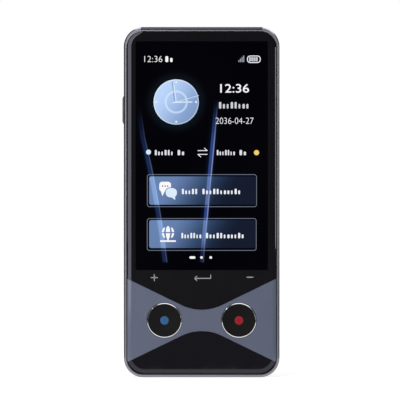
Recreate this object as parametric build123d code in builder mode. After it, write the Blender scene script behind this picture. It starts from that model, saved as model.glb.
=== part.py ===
from build123d import *
import os

os.makedirs("parts", exist_ok=True)

# Handheld translator standing on its bottom edge. X is the width and Z the height.
# A "reach" is a distance in front of the mid-depth plane: the screen side is at a
# positive reach (towards -Y) and the back cover at a negative one.

# ---- outer body ----
body_width = 62.2
body_height = 140.0
body_depth = 13.0
corner_radius = 7.8
body_half = body_width / 2
front_reach = body_depth / 2
back_reach = -body_depth / 2

# ---- front cover, in three pieces that share one rounded shape ----
lip_width = 1.0
top_lip = 1.6
panel_gap = 0.35
panel_thickness = 1.4
lip_drop = 0.8
tape_thickness = 0.15
shoulder_radius = 2.4
side_shoulder = 1.6
bottom_shoulder = 1.9
top_shoulder = 0.5
seam_gap = 0.08
panel_reach = front_reach - panel_thickness
lip_reach = front_reach - lip_drop
ledge_reach = panel_reach - tape_thickness
panel_side = lip_width + panel_gap
panel_half = body_half - panel_side
panel_top = top_lip + panel_gap
tape_side = lip_width + seam_gap
tape_top = top_lip + seam_gap
block_radius = corner_radius + 0.2

# ---- bow-tie shaped keypad plate ----
bow_middle = 22.8
bow_waist = 2.21
bow_slope = 0.487
bow_round = 18.5
key_offset = panel_half / 2

# ---- frame ----
wall = 2.2
top_wall = 2.8
shelf_inset = 5.0
shelf_thickness = 0.8
lip_chamfer = 0.45
seam_chamfer = 0.15
cover_height = 3.1
rebate_inset = 1.1
rebate_depth = 1.2
fit_gap = 0.1
room_gap = 0.4
cover_reach = back_reach + cover_height

# ---- display and the plate behind it ----
display_side = 4.75
display_head = 5.7
display_rise = 20.15
display_rim = 1.2
display_foot_rim = 4.15
display_thickness = 1.9
display_round = 1.5
display_tab = 1.0
driver_room = 1.0
plate_thickness = 0.8
plate_slot_width = 26.0
plate_slot_height = 3.0
plate_slots = 4
display_foot = bow_middle + display_rise
display_low = display_foot - display_foot_rim
display_width = body_width - 2 * (display_side - display_rim)
display_top = body_height - display_head + display_rim
display_reach = panel_reach - display_thickness
shelf_reach = display_reach - plate_thickness
shelf_back = shelf_reach - shelf_thickness

# ---- round keys ----
cap_radius = 6.4
ring_inner = cap_radius + 0.12
ring_width = 0.48
ring_seat = 0.12
ring_rise = 0.15
ring_crown = 0.28
ring_crest = 0.12
cap_rise = 0.1
cap_thickness = 1.6
cap_flange_width = 13.6
cap_flange_thickness = 0.45
flange_room = 0.2
dish_depth = 0.18
dot_radius = 1.7
dot_sunk = 0.03
key_travel = 0.4
switch_size = 4.4
switch_height = 0.8
switch_floor = 0.1
leg_length = 0.7
leg_width = 0.5
leg_height = 0.15
stem_width = 1.8
stem_gap = 0.08
lamp_width = 1.6
lamp_height = 0.8
lamp_thickness = 0.6
lamp_gap = 0.9
ring_outer = ring_inner + ring_width
ring_top = front_reach + ring_rise
cap_top = front_reach + cap_rise
cap_foot = cap_top - cap_thickness - cap_flange_thickness
flange_top = cap_foot + cap_flange_thickness
switch_top = display_reach + switch_height

# ---- side key ----
side_key_drop = 33.1
side_key_length = 11.8
side_key_width = 2.4
side_key_rise = 0.65
side_key_taper = 1.2
side_key_round = 0.3
side_key_travel = 0.35
side_key_gap = 0.12
side_flange = 0.5
side_flange_lip = 0.6
side_stem_width = 1.2
side_switch_depth = 1.0
side_switch_length = 4.6
side_board_thickness = 0.6
press_gap = 0.05
notch_margin = 1.5
side_key_height = body_height - side_key_drop
side_key_reach = shelf_back - side_key_width / 2 - side_flange_lip - fit_gap
flange_outer = body_half - wall - fit_gap
flange_inner = flange_outer - side_flange
side_switch_face = flange_inner - side_key_travel - press_gap
side_board_face = side_switch_face - side_switch_depth
side_board_back = side_board_face - side_board_thickness
notch_height = side_key_length + 2 * notch_margin

# ---- top insert ----
insert_half = 24.25
insert_height = 1.2
insert_front = 0.25
insert_back = 2.6
insert_groove = 0.35
insert_groove_depth = 1.2
insert_round = 0.35

# ---- boards ----
board_thickness = 1.0
main_board_length = 52.6
board_gap = 0.3
screw_inset = 3.6
screw_rise = 4.7
screw_radius = 0.7
screw_gap = 0.03
screw_head_radius = 1.05
screw_head_height = 0.5
board_head = display_low - board_gap
board_back = shelf_back - board_thickness
main_board_low = body_height - main_board_length
screw_height = side_key_height + notch_height / 2 + screw_rise
screw_places = [(side * (body_half - screw_inset), screw_height) for side in (-1, 1)]

# ---- back cover ----
cover_wall = 1.3
cover_side = 2.0
cover_slant = 1.9
cover_ease = 0.75
hook_length = 5.0
hook_rise = 0.35
hook_height = 0.5
hook_pitch = 0.23 * body_height
cover_inner = back_reach + cover_wall
tongue_reach = cover_reach + rebate_depth - fit_gap
hook_places = [(side, body_height / 2 + hook_pitch * (row - 1.5))
               for side in (-1, 1) for row in range(4)]

# ---- battery ----
battery_side = shelf_inset + 0.7
battery_foot = 2.4
battery_head = 2.2
battery_round = 1.2
foam_thickness = 1.1
foam_gap = 7.0
tail_width = 5.0
tail_drop = 0.5
battery_width = body_width - 2 * battery_side
battery_low = board_head + battery_foot
battery_high = main_board_low - battery_head
battery_middle = (battery_low + battery_high) / 2
battery_back = cover_inner + foam_thickness

# ---- vibration motor ----
motor_radius = 4.4
motor_thickness = 2.8
motor_gap = 0.9
motor_foot = 3.0
motor_pad_width = 3.0
motor_pad_height = 1.6
motor_pad_thickness = 0.6
motor_place = (motor_gap + motor_radius + shelf_inset - body_half,
               shelf_inset + motor_foot + motor_radius)

# ---- connector at the bottom ----
port_width = 8.94
port_height = 3.16
port_depth = 7.4
port_wall = 0.3
port_sunk = 0.25
port_floor = 0.4
port_tongue_width = 6.7
port_tongue_height = 0.7
port_tongue_sunk = 0.8
port_block_depth = 1.6
port_reach = shelf_reach - port_height / 2

# ---- speaker ----
speaker_height = 19.0
speaker_gap = 1.4
speaker_foot = 4.85
speaker_rim = 2.5
speaker_recess = 0.9
speaker_dome = 0.5
gasket_thickness = 0.6
gasket_border = 1.6
mesh_thickness = 0.2
grille_slot_height = 1.2
grille_bar = 1.6
grille_columns = 3
grille_rows = 5
speaker_width = 2 * (-motor_place[0] - motor_radius - speaker_gap)
speaker_place = (0, port_sunk + port_depth + speaker_foot + speaker_height / 2)
grille_slot_width = (speaker_width - 2 * gasket_border - grille_bar) / grille_columns - grille_bar
mesh_back = cover_inner + mesh_thickness
speaker_back = mesh_back + gasket_thickness

# ---- camera and flash ----
camera_inset = 14.1
camera_drop = 15.5
camera_size = 8.6
barrel_radius = 3.3
barrel_length = 1.6
barrel_gap = 0.2
window_radius = 4.0
window_thickness = 0.5
window_sunk = 0.15
window_ledge = 0.5
flash_below = 12.5
flash_size = 3.2
flash_sunk = 0.1
flash_pipe = 2.4
flash_led_height = 0.8
camera_place = (body_half - camera_inset, body_height - camera_drop)
flash_place = (camera_place[0], camera_place[1] - flash_below)
barrel_tip = cover_inner + barrel_gap
camera_back = barrel_tip + barrel_length
window_back = back_reach + window_sunk
window_front = window_back + window_thickness

# ---- antenna ----
antenna_width = 26.0
antenna_height = 6.0
antenna_wall = 1.2
antenna_shift = 25.0
antenna_back = cover_inner + antenna_wall
antenna_place = (camera_place[0] - antenna_shift,
                 body_height - top_wall - board_gap - antenna_height / 2)

# ---- shields and chips ----
shield_wall = 0.2
shield_height = 1.6
shield_gap = 3.0
radio_width = 18.0
radio_height = 13.0
radio_chip = 7.0
processor_width = 24.0
processor_height = 18.0
processor_shift = 20.0
processor_chip = 12.0
memory_width = 8.0
memory_height = 10.0
chip_gap = 1.0
chip_thickness = 0.9
charger_size = 4.0
charger_rise = 9.6
part_length = 2.0
part_width = 1.2
part_pitch = 3.0
part_gap = 1.7
radio_place = (antenna_place[0],
               antenna_place[1] - (antenna_height + radio_height) / 2 - shield_gap)
processor_place = (camera_place[0] - processor_shift,
                   radio_place[1] - (radio_height + processor_height) / 2 - shield_gap)
charger_place = (camera_place[0], main_board_low + charger_rise)

# ---- connectors and flexible circuits ----
flex_thickness = 0.2
flex_width = 8.0
flex_inset = 11.1
connector_margin = 0.6
connector_height = 3.0
connector_thickness = 0.9
plug_width = 6.4
plug_height = 3.4
plug_thickness = 1.4
plug_shift = 4.5
plug_rise = 4.0
display_plug_width = 11.0
display_plug_height = 2.6
display_plug_rise = 9.5
display_plug_room = 3.0
flex_side = body_half - flex_inset
link_low = board_head - connector_height
link_high = main_board_low + connector_height
plug_place = (camera_place[0] - plug_shift, main_board_low + plug_rise)
display_plug = bow_middle + display_plug_rise

# ---- microphone ----
mic_width = 3.6
mic_height = 2.6
mic_thickness = 1.1
mic_hole = 0.5
mic_gap = 4.7
mic_side = (port_width + mic_width) / 2 + mic_gap

key_places = {"left": (-key_offset, bow_middle), "right": (key_offset, bow_middle)}


def outline(near, far, side, foot, head, radius, mode=Mode.ADD):
    """Slab between two reaches that follows the body outline, drawn in on each side."""
    height = body_height - foot - head
    with BuildSketch(Plane.XZ.offset(near)) as face:
        with Locations((0, foot + height / 2)):
            RectangleRounded(body_width - 2 * side, height, radius)
    extrude(face.sketch, amount=far - near, mode=mode)


def inset_slab(near, far, inset, mode=Mode.ADD, head=None):
    """Slab between two reaches at an even inset from the body outline."""
    top = inset if head is None else head
    outline(near, far, inset, inset, top, corner_radius - inset, mode)


def block(width, height, centre, near, far, mode=Mode.ADD):
    """Rectangular block between two reaches, centred on (x, z)."""
    with Locations((centre[0], -(near + far) / 2, centre[1])):
        Box(width, near - far, height, mode=mode)


def rounded_block(width, height, radius, centre, near, far, mode=Mode.ADD):
    """Block with rounded upright corners between two reaches, centred on (x, z)."""
    with BuildSketch(Plane.XZ.offset(near)) as face:
        with Locations(centre):
            RectangleRounded(width, height, radius)
    extrude(face.sketch, amount=far - near, mode=mode)


def disc(radius, centre, near, far, mode=Mode.ADD):
    """Round bar between two reaches, its axis running front to back."""
    with BuildSketch(Plane.XZ.offset(near)) as face:
        with Locations(centre):
            Circle(radius)
    extrude(face.sketch, amount=far - near, mode=mode)


def turned(centre, profile, mode=Mode.ADD):
    """Solid of revolution about a front-to-back axis, from (radius, reach) pairs."""
    hub = Plane(origin=(centre[0], 0, centre[1]), x_dir=(1, 0, 0), z_dir=(0, 0, 1))
    with BuildSketch(hub) as section:
        with BuildLine():
            Polyline([(radius, -reach) for radius, reach in profile], close=True)
        make_face()
    revolve(section.sketch, axis=Axis(hub.origin, (0, 1, 0)), mode=mode)


def front_cover():
    """Whole front cover: flat face whose edge rolls off towards the lip."""
    side = panel_side - (shoulder_radius - side_shoulder)
    foot = panel_side - (shoulder_radius - bottom_shoulder)
    head = panel_top - (shoulder_radius - top_shoulder)
    outline(front_reach, front_reach - 2 * shoulder_radius, side, foot, head, block_radius)
    front = faces().sort_by(Axis.Y)[0]
    fillet(front.edges(), radius=shoulder_radius)
    outline(front_reach, panel_reach, panel_side, panel_side, panel_top,
            corner_radius - panel_side, Mode.INTERSECT)


def keep_between(low, high):
    """Cut the front cover down to the part between two edges, each given by its points."""
    with BuildSketch(Plane.XZ.offset(front_reach)) as zone:
        with BuildLine():
            for edge in (low, high):
                if len(edge) == 2:
                    Line(*edge)
                else:
                    FilletPolyline(*edge, radius=bow_round)
            Line(low[0], high[0])
            Line(low[-1], high[-1])
        make_face()
    extrude(zone.sketch, amount=-panel_thickness, mode=Mode.INTERSECT)


def bow_edge(sign, shift):
    """Upper (1) or lower (-1) edge of the bow-tie plate, moved up or down by shift."""
    at_middle = bow_middle + sign * bow_waist + shift
    at_side = at_middle + sign * bow_slope * body_half
    return [(-body_half, at_side), (0, at_middle), (body_half, at_side)]


def level_edge(height):
    """Straight edge across the whole cover."""
    return [(-body_half, height), (body_half, height)]


# =====================  frame  =====================

with BuildPart() as mid_frame:
    inset_slab(lip_reach, cover_reach, 0)
    chamfer(mid_frame.faces().sort_by(Axis.Y)[0].edges(), length=lip_chamfer)
    chamfer(mid_frame.faces().sort_by(Axis.Y)[-1].edges(), length=seam_chamfer)
    outline(lip_reach, ledge_reach, lip_width, lip_width, top_lip,
            corner_radius - lip_width, Mode.SUBTRACT)
    inset_slab(ledge_reach, shelf_reach, wall, Mode.SUBTRACT, top_wall)
    inset_slab(shelf_reach, shelf_back, shelf_inset, Mode.SUBTRACT)
    inset_slab(shelf_back, cover_reach, wall, Mode.SUBTRACT, top_wall)
    inset_slab(cover_reach + rebate_depth, cover_reach, rebate_inset, Mode.SUBTRACT)
    # groove in the top edge for the dark insert
    block(2 * insert_half, insert_height, (0, body_height - insert_height / 2),
          lip_reach, cover_reach + insert_back, Mode.SUBTRACT)
    # opening for the side key
    with Locations((-body_half, -side_key_reach, side_key_height)):
        Box(2 * wall + fit_gap, side_key_width + 2 * side_key_gap,
            side_key_length + 2 * side_key_gap, mode=Mode.SUBTRACT)
    # slot for the charging connector and the room its shell needs in the shelf
    with BuildSketch(Plane.XY) as port_slot:
        with Locations((0, -port_reach)):
            SlotOverall(port_width + 2 * fit_gap, port_height + 2 * fit_gap)
    extrude(port_slot.sketch, amount=wall, mode=Mode.SUBTRACT)
    block(port_width + 2 * room_gap, shelf_inset - wall, (0, (wall + shelf_inset) / 2),
          shelf_reach, shelf_back, Mode.SUBTRACT)
    # microphone hole and the room for the microphone behind it
    block(mic_width + 2 * room_gap, shelf_inset - wall, (mic_side, (wall + shelf_inset) / 2),
          shelf_reach, shelf_back, Mode.SUBTRACT)
    with Locations((mic_side, mic_thickness / 2 - shelf_reach, 0)):
        Cylinder(mic_hole, wall, align=(Align.CENTER, Align.CENTER, Align.MIN),
                 mode=Mode.SUBTRACT)
    for place in screw_places:
        disc(screw_radius, place, shelf_reach, shelf_back, Mode.SUBTRACT)
    # pockets that the hooks of the back cover snap into
    for side, height in hook_places:
        with Locations((side * (body_half - rebate_inset), -cover_reach - rebate_depth / 2,
                        height)):
            Box(2 * (hook_rise + fit_gap), hook_height + 2 * fit_gap,
                hook_length + 2 * fit_gap, mode=Mode.SUBTRACT)
mid_frame.part.label = "mid_frame"

with BuildPart() as top_insert:
    block(2 * (insert_half - seam_gap), insert_height, (0, body_height - insert_height / 2),
          lip_reach - insert_front, cover_reach + insert_back)
    front = top_insert.faces().sort_by(Axis.Y)[0]
    fillet(front.edges().sort_by(Axis.Z)[-1], radius=insert_round)
    with Locations((0, -lip_reach + insert_front, body_height - insert_height)):
        Box(2 * insert_half, 2 * insert_groove_depth, 2 * insert_groove, mode=Mode.SUBTRACT)
top_insert.part.label = "top_insert"

# =====================  front cover pieces  =====================

with BuildPart() as front_glass:
    front_cover()
    keep_between(bow_edge(1, seam_gap / 2), level_edge(body_height))
front_glass.part.label = "front_glass"

with BuildPart() as keypad_plate:
    front_cover()
    keep_between(bow_edge(-1, seam_gap / 2), bow_edge(1, -seam_gap / 2))
    for place in key_places.values():
        disc(ring_outer + ring_seat, place, front_reach, panel_reach, Mode.SUBTRACT)
keypad_plate.part.label = "keypad_plate"

with BuildPart() as chin_trim:
    front_cover()
    keep_between(level_edge(0), bow_edge(-1, -seam_gap / 2))
chin_trim.part.label = "chin_trim"

with BuildPart() as front_tape:
    outline(panel_reach, ledge_reach, tape_side, tape_side, tape_top,
            corner_radius - tape_side)
    inset_slab(panel_reach, ledge_reach, wall, Mode.SUBTRACT, top_wall)
front_tape.part.label = "front_tape"

# =====================  display and support plate  =====================

with BuildPart() as display_module:
    rounded_block(display_width, display_top - display_low, display_round,
                  (0, (display_top + display_low) / 2), panel_reach, display_reach)
    tab_height = display_foot_rim - display_tab
    block(display_width, tab_height, (0, display_low + tab_height / 2),
          display_reach + driver_room, display_reach, Mode.SUBTRACT)
display_module.part.label = "display_module"

with BuildPart() as display_flex:
    flex_low = display_plug - display_plug_height / 2
    block(display_plug_width, display_low - flex_low, (0, (display_low + flex_low) / 2),
          display_reach + connector_thickness + flex_thickness,
          display_reach + connector_thickness)
display_flex.part.label = "display_flex"

with BuildPart() as chassis_plate:
    inset_slab(display_reach, shelf_reach, wall + fit_gap, Mode.ADD, top_wall + fit_gap)
    block(body_width, display_low - fit_gap, (0, (display_low - fit_gap) / 2),
          display_reach, shelf_reach, Mode.SUBTRACT)
    slot_pitch = (main_board_low - display_foot) / plate_slots
    for row in range(plate_slots):
        block(plate_slot_width, plate_slot_height,
              (0, display_foot + slot_pitch * (row + 0.5)), display_reach, shelf_reach,
              Mode.SUBTRACT)
chassis_plate.part.label = "chassis_plate"

# =====================  keypad carrier and lower board  =====================

with BuildPart() as key_carrier:
    inset_slab(panel_reach, display_reach, wall + fit_gap)
    block(body_width, body_height, (0, board_head + body_height / 2), panel_reach,
          display_reach, Mode.SUBTRACT)
    window_width = cap_flange_width + 2 * flange_room
    for place in key_places.values():
        block(window_width, window_width, place, panel_reach, display_reach, Mode.SUBTRACT)
    plug_low = display_plug - display_plug_room
    block(display_plug_width + 2 * room_gap, board_head - plug_low,
          (0, (board_head + plug_low) / 2), panel_reach, display_reach, Mode.SUBTRACT)
key_carrier.part.label = "key_carrier"

with BuildPart() as lower_board:
    inset_slab(display_reach, shelf_reach, wall + fit_gap)
    block(body_width, body_height, (0, board_head + body_height / 2), display_reach,
          shelf_reach, Mode.SUBTRACT)
lower_board.part.label = "lower_board"

# =====================  round keys  =====================

for name, place in key_places.items():
    with BuildPart() as key_ring:
        turned(place, [(ring_inner, ring_top - ring_crest),
                       (ring_inner + ring_crest, ring_top),
                       (ring_outer, ring_top - ring_crown),
                       (ring_outer, panel_reach), (ring_inner, panel_reach)])
    key_ring.part.label = name + "_key_ring"
    export_step(key_ring.part, "parts/" + name + "_key_ring.step")

    with BuildPart() as key_cap:
        turned(place, [(dot_radius, cap_top - dish_depth), (cap_radius, cap_top),
                       (cap_radius, flange_top), (dot_radius, flange_top)])
        block(cap_flange_width, cap_flange_width, place, flange_top, cap_foot)
        disc(dot_radius, place, flange_top, cap_foot, Mode.SUBTRACT)
    key_cap.part.label = name + "_key_cap"
    export_step(key_cap.part, "parts/" + name + "_key_cap.step")

    with BuildPart() as key_lens:
        disc(dot_radius, place, cap_top - dish_depth - dot_sunk, cap_foot)
    key_lens.part.label = name + "_key_lens"
    export_step(key_lens.part, "parts/" + name + "_key_lens.step")

    with BuildPart() as key_switch:
        block(switch_size, switch_size, place, switch_top, display_reach)
        block(stem_width + 2 * stem_gap, stem_width + 2 * stem_gap, place, switch_top,
              display_reach + switch_floor, Mode.SUBTRACT)
        for side in (-1, 1):
            for end in (-1, 1):
                block(leg_length, leg_width,
                      (place[0] + side * (switch_size + leg_length) / 2,
                       place[1] + end * (switch_size / 2 - leg_width)),
                      display_reach + leg_height, display_reach)
    key_switch.part.label = name + "_key_switch"
    export_step(key_switch.part, "parts/" + name + "_key_switch.step")

    with BuildPart() as switch_stem:
        block(stem_width, stem_width, place, cap_foot,
              display_reach + switch_floor + key_travel + press_gap)
    switch_stem.part.label = name + "_switch_stem"
    export_step(switch_stem.part, "parts/" + name + "_switch_stem.step")

with BuildPart() as key_lamps:
    for place in key_places.values():
        for side in (-1, 1):
            block(lamp_width, lamp_height,
                  (place[0] + side * ((switch_size + lamp_width) / 2 + lamp_gap), place[1]),
                  display_reach + lamp_thickness, display_reach)
key_lamps.part.label = "key_lamps"

# =====================  side key  =====================

with BuildPart() as power_key_cap:
    key_low = side_key_height - side_key_length / 2
    key_high = side_key_height + side_key_length / 2
    with BuildSketch(Plane.XZ.offset(side_key_reach)) as key_profile:
        with BuildLine():
            Polyline([(-flange_outer, key_low), (-body_half, key_low),
                      (-body_half - side_key_rise, key_low + side_key_taper),
                      (-body_half - side_key_rise, key_high - side_key_taper),
                      (-body_half, key_high), (-flange_outer, key_high)], close=True)
        make_face()
    extrude(key_profile.sketch, amount=side_key_width / 2, both=True)
    fillet(power_key_cap.faces().sort_by(Axis.X)[0].edges(), radius=side_key_round)
    with Locations((-(flange_outer + flange_inner) / 2, -side_key_reach, side_key_height)):
        Box(side_flange, side_key_width + 2 * side_flange_lip,
            side_key_length + 2 * side_flange_lip)
power_key_cap.part.label = "power_key_cap"

with BuildPart() as power_switch_stem:
    stem_length = side_key_travel + side_flange
    with Locations((-flange_inner + stem_length / 2, -side_key_reach, side_key_height)):
        Box(stem_length, side_stem_width, side_stem_width)
power_switch_stem.part.label = "power_switch_stem"

with BuildPart() as power_switch:
    with Locations((-(side_switch_face + side_board_face) / 2, -side_key_reach,
                    side_key_height)):
        Box(side_switch_depth, side_key_width, side_switch_length)
    with Locations((-side_switch_face, -side_key_reach, side_key_height)):
        Box(2 * (side_switch_depth - switch_floor), side_stem_width + 2 * stem_gap,
            side_stem_width + 2 * stem_gap, mode=Mode.SUBTRACT)
power_switch.part.label = "power_switch"

with BuildPart() as power_board:
    with Locations((-(side_board_face + side_board_back) / 2, -side_key_reach,
                    side_key_height)):
        Box(side_board_thickness, side_key_width + 2 * side_flange_lip, side_key_length)
power_board.part.label = "power_board"

# =====================  main board  =====================

with BuildPart() as main_board:
    inset_slab(shelf_back, board_back, wall + fit_gap, Mode.ADD, top_wall + fit_gap)
    block(body_width, main_board_low, (0, main_board_low / 2), shelf_back, board_back,
          Mode.SUBTRACT)
    notch_width = body_half - side_board_back
    block(notch_width, notch_height, (notch_width / 2 - body_half, side_key_height),
          shelf_back, board_back, Mode.SUBTRACT)
    for place in screw_places:
        disc(screw_radius + screw_gap, place, shelf_back, board_back, Mode.SUBTRACT)
main_board.part.label = "main_board"


def shield_can(width, height, centre):
    """Folded can open towards the board."""
    block(width, height, centre, board_back, board_back - shield_height)
    block(width - 2 * shield_wall, height - 2 * shield_wall, centre, board_back,
          board_back - shield_height + shield_wall, Mode.SUBTRACT)


with BuildPart() as processor_shield:
    shield_can(processor_width, processor_height, processor_place)
processor_shield.part.label = "processor_shield"

with BuildPart() as radio_shield:
    shield_can(radio_width, radio_height, radio_place)
radio_shield.part.label = "radio_shield"

with BuildPart() as board_chips:
    chip_back = board_back - chip_thickness
    block(processor_chip, processor_chip,
          (processor_place[0] - (memory_width + chip_gap) / 2, processor_place[1]),
          board_back, chip_back)
    block(memory_width, memory_height,
          (processor_place[0] + (processor_chip + chip_gap) / 2, processor_place[1]),
          board_back, chip_back)
    block(radio_chip, radio_chip, radio_place, board_back, chip_back)
    block(charger_size, charger_size, charger_place, board_back, chip_back)
    for row in range(3):
        block(part_length, part_width,
              (camera_place[0] + camera_size / 2 + part_gap,
               charger_place[1] + part_pitch * (row + 1.5)), board_back, chip_back)
board_chips.part.label = "board_chips"

with BuildPart() as board_connectors:
    block(display_plug_width, display_plug_height, (0, display_plug),
          display_reach + connector_thickness, display_reach)
    block(flex_width + 2 * connector_margin, connector_height, (-flex_side, link_low),
          shelf_reach, shelf_reach - connector_thickness)
    block(flex_width + 2 * connector_margin, connector_height, (-flex_side, link_high),
          board_back, board_back - connector_thickness)
    block(plug_width, plug_height, plug_place, board_back, board_back - plug_thickness)
board_connectors.part.label = "board_connectors"

with BuildPart() as board_screws:
    for place in screw_places:
        disc(screw_radius - screw_gap, place, shelf_reach, board_back)
        disc(screw_head_radius, place, board_back, board_back - screw_head_height)
board_screws.part.label = "board_screws"

# =====================  battery  =====================

with BuildPart() as battery:
    rounded_block(battery_width, battery_high - battery_low, battery_round,
                  (0, battery_middle), shelf_reach, battery_back)
battery.part.label = "battery"

with BuildPart() as battery_foam:
    foam_left = flex_width / 2 - flex_side + foam_gap
    foam_right = battery_width / 2 - foam_gap
    block(foam_right - foam_left, battery_high - battery_low - 2 * foam_gap,
          ((foam_left + foam_right) / 2, battery_middle), battery_back, cover_inner)
battery_foam.part.label = "battery_foam"

with BuildPart() as battery_tail:
    tail_head = plug_place[1] - plug_height / 2
    block(tail_width, tail_head - battery_high,
          (plug_place[0], (tail_head + battery_high) / 2), board_back - tail_drop,
          board_back - tail_drop - flex_thickness)
battery_tail.part.label = "battery_tail"

with BuildPart() as link_flex:
    rise = (board_head + battery_low) / 2
    drop = (battery_high + main_board_low) / 2
    low_reach = shelf_reach - connector_thickness
    high_reach = board_back - connector_thickness
    with BuildSketch(Plane.YZ.offset(-flex_side)) as strip:
        with BuildLine():
            run = Polyline((-low_reach, link_low), (-low_reach, rise), (-battery_back, rise),
                           (-battery_back, drop), (-high_reach, drop),
                           (-high_reach, link_high))
            offset(run, amount=flex_thickness, side=Side.RIGHT)
        make_face()
    extrude(strip.sketch, amount=flex_width / 2, both=True)
link_flex.part.label = "link_flex"

# =====================  speaker  =====================

with BuildPart() as speaker:
    block(speaker_width, speaker_height, speaker_place, shelf_reach, speaker_back)
    block(speaker_width - 2 * speaker_rim, speaker_height - 2 * speaker_rim, speaker_place,
          speaker_back + speaker_recess, speaker_back, Mode.SUBTRACT)
    block(speaker_width - 4 * speaker_rim, speaker_height - 4 * speaker_rim, speaker_place,
          speaker_back + speaker_recess, speaker_back + speaker_recess - speaker_dome)
speaker.part.label = "speaker"

with BuildPart() as speaker_gasket:
    block(speaker_width, speaker_height, speaker_place, speaker_back, mesh_back)
    block(speaker_width - 2 * gasket_border, speaker_height - 2 * gasket_border,
          speaker_place, speaker_back, mesh_back, Mode.SUBTRACT)
speaker_gasket.part.label = "speaker_gasket"

with BuildPart() as speaker_mesh:
    block(speaker_width, speaker_height, speaker_place, mesh_back, cover_inner)
speaker_mesh.part.label = "speaker_mesh"

# =====================  camera and flash  =====================

with BuildPart() as camera_module:
    block(camera_size, camera_size, camera_place, board_back, camera_back)
    disc(barrel_radius, camera_place, camera_back, barrel_tip)
camera_module.part.label = "camera_module"

with BuildPart() as camera_window:
    disc(window_radius, camera_place, window_front, window_back)
camera_window.part.label = "camera_window"

with BuildPart() as flash_lamp:
    block(flash_pipe, flash_pipe, flash_place, board_back, board_back - flash_led_height)
flash_lamp.part.label = "flash_lamp"

with BuildPart() as flash_lens:
    block(flash_size, flash_size, flash_place, cover_inner, back_reach + flash_sunk)
    block(flash_pipe, flash_pipe, flash_place, board_back - flash_led_height - press_gap,
          cover_inner)
flash_lens.part.label = "flash_lens"

# =====================  small electronics  =====================

with BuildPart() as usb_shell:
    with BuildSketch(Plane.XY.offset(port_sunk)) as shell_face:
        with Locations((0, -port_reach)):
            SlotOverall(port_width, port_height)
    extrude(shell_face.sketch, amount=port_depth)
    with BuildSketch(Plane.XY.offset(port_sunk)) as shell_mouth:
        with Locations((0, -port_reach)):
            SlotOverall(port_width - 2 * port_wall, port_height - 2 * port_wall)
    extrude(shell_mouth.sketch, amount=port_depth - port_floor, mode=Mode.SUBTRACT)
usb_shell.part.label = "usb_shell"

with BuildPart() as usb_tongue:
    port_end = port_sunk + port_depth - port_floor
    with Locations((0, -port_reach, port_end)):
        Box(port_tongue_width, port_tongue_height, port_end - port_sunk - port_tongue_sunk,
            align=(Align.CENTER, Align.CENTER, Align.MAX))
        Box(port_tongue_width, 2 * port_tongue_height, port_block_depth,
            align=(Align.CENTER, Align.CENTER, Align.MAX))
usb_tongue.part.label = "usb_tongue"

with BuildPart() as microphone:
    block(mic_width, mic_height, (mic_side, wall + fit_gap + mic_height / 2), shelf_reach,
          shelf_reach - mic_thickness)
microphone.part.label = "microphone"

with BuildPart() as vibration_motor:
    disc(motor_radius, motor_place, shelf_reach, shelf_reach - motor_thickness)
    block(motor_pad_width, motor_pad_height, (motor_place[0], motor_place[1] + motor_radius),
          shelf_reach, shelf_reach - motor_pad_thickness)
vibration_motor.part.label = "vibration_motor"

with BuildPart() as antenna_carrier:
    block(antenna_width, antenna_height, antenna_place, board_back, antenna_back)
    block(antenna_width - 2 * antenna_wall, antenna_height - 2 * antenna_wall, antenna_place,
          board_back, antenna_back + antenna_wall, Mode.SUBTRACT)
antenna_carrier.part.label = "antenna_carrier"

# =====================  back cover  =====================

with BuildPart() as back_cover:
    inset_slab(cover_reach, back_reach, 0)
    chamfer(back_cover.faces().sort_by(Axis.Y)[0].edges(), length=seam_chamfer)
    # back edge eased in three slanting bands
    chamfer(back_cover.faces().sort_by(Axis.Y)[-1].edges(), length=cover_slant)
    loops = back_cover.edges().group_by(Axis.Y)
    chamfer(loops[-1] + loops[-3], length=cover_ease)
    inset_slab(tongue_reach, cover_reach, rebate_inset + fit_gap)
    inset_slab(tongue_reach, cover_inner, cover_side, Mode.SUBTRACT)
    for side, height in hook_places:
        with Locations((side * (body_half - rebate_inset - fit_gap),
                        -cover_reach - rebate_depth / 2, height)):
            Box(2 * hook_rise, hook_height, hook_length)
    # speaker grille
    with BuildSketch(Plane.XZ.offset(cover_inner)) as grille:
        with Locations(speaker_place):
            with GridLocations(grille_slot_width + grille_bar, grille_slot_height + grille_bar,
                               grille_columns, grille_rows):
                Rectangle(grille_slot_width, grille_slot_height)
    extrude(grille.sketch, amount=-cover_wall, mode=Mode.SUBTRACT)
    # stepped seat of the camera window and the hole of the flash lens
    disc(window_radius, camera_place, window_front, back_reach, Mode.SUBTRACT)
    disc(window_radius - window_ledge, camera_place, cover_inner, window_front, Mode.SUBTRACT)
    block(flash_size, flash_size, flash_place, cover_inner, back_reach, Mode.SUBTRACT)
back_cover.part.label = "back_cover"

for piece in (mid_frame, top_insert, front_glass, keypad_plate, chin_trim, front_tape,
              display_module, display_flex, chassis_plate, key_carrier, lower_board, key_lamps,
              power_key_cap, power_switch_stem, power_switch, power_board, main_board,
              processor_shield, radio_shield, board_chips, board_connectors, board_screws,
              battery, battery_foam, battery_tail, link_flex, speaker, speaker_gasket,
              speaker_mesh, camera_module, camera_window, flash_lamp, flash_lens,
              usb_shell, usb_tongue, microphone, vibration_motor,
              antenna_carrier, back_cover):
    export_step(piece.part, "parts/" + piece.part.label + ".step")
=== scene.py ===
"""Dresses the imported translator: finishes, lit screen, small parts and a plain stage."""

import math

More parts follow.
